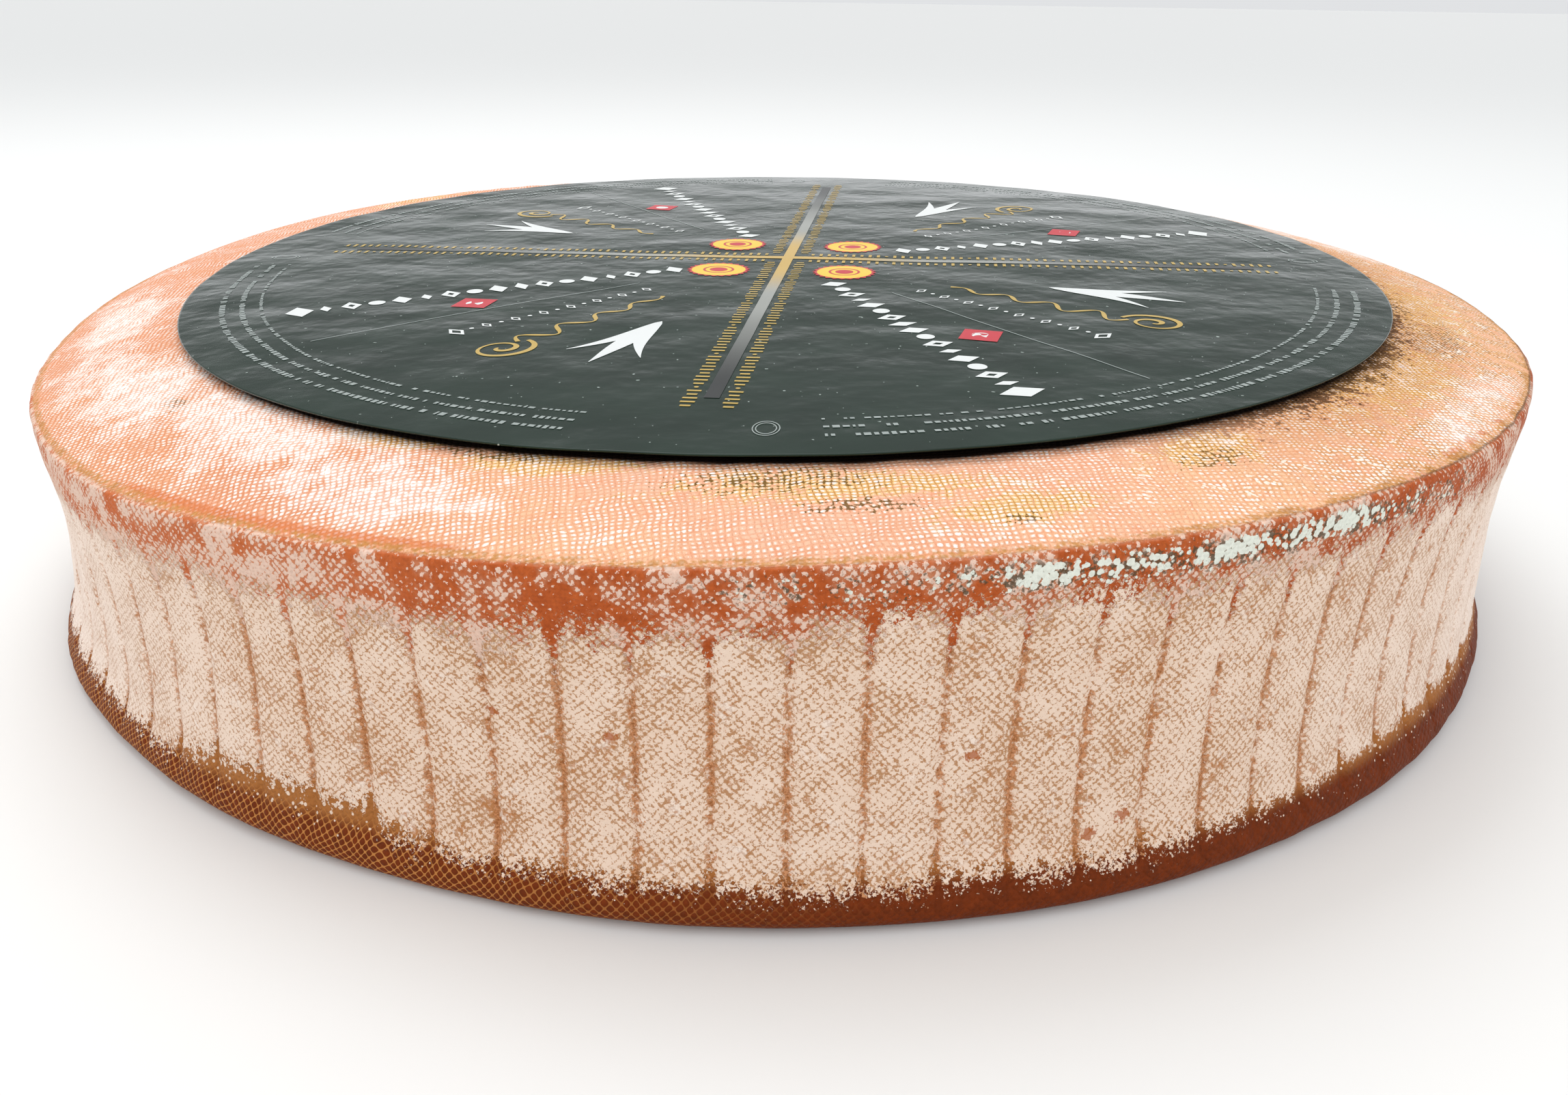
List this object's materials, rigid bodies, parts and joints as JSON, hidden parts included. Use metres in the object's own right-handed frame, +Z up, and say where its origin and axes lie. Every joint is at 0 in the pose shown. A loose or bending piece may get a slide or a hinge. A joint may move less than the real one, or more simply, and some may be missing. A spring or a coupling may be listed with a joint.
{
  "type": "cheese wheel",
  "caption": "Whole pressed alpine cheese wheel with a cloth-marked washed rind, a hollow heel and a crowned top that carries a round paper label.",
  "frame": {"origin": "the middle of the flat base the wheel rests on", "axes": "+Z is up, through the wheel from its base to its top face. -Y is the front, the side seen in the picture, and +X is to the right as seen from the front."},
  "size_m": [0.408, 0.408, 0.0832],
  "materials": {
    "rind": "dry washed rind: cloth-marked, terracotta and ochre with a pale powdery bloom",
    "paper": null
  },
  "bodies": {
    "root": {"cheese_wheel": "rind", "paper_label": "paper"}
  },
  "joints": []
}
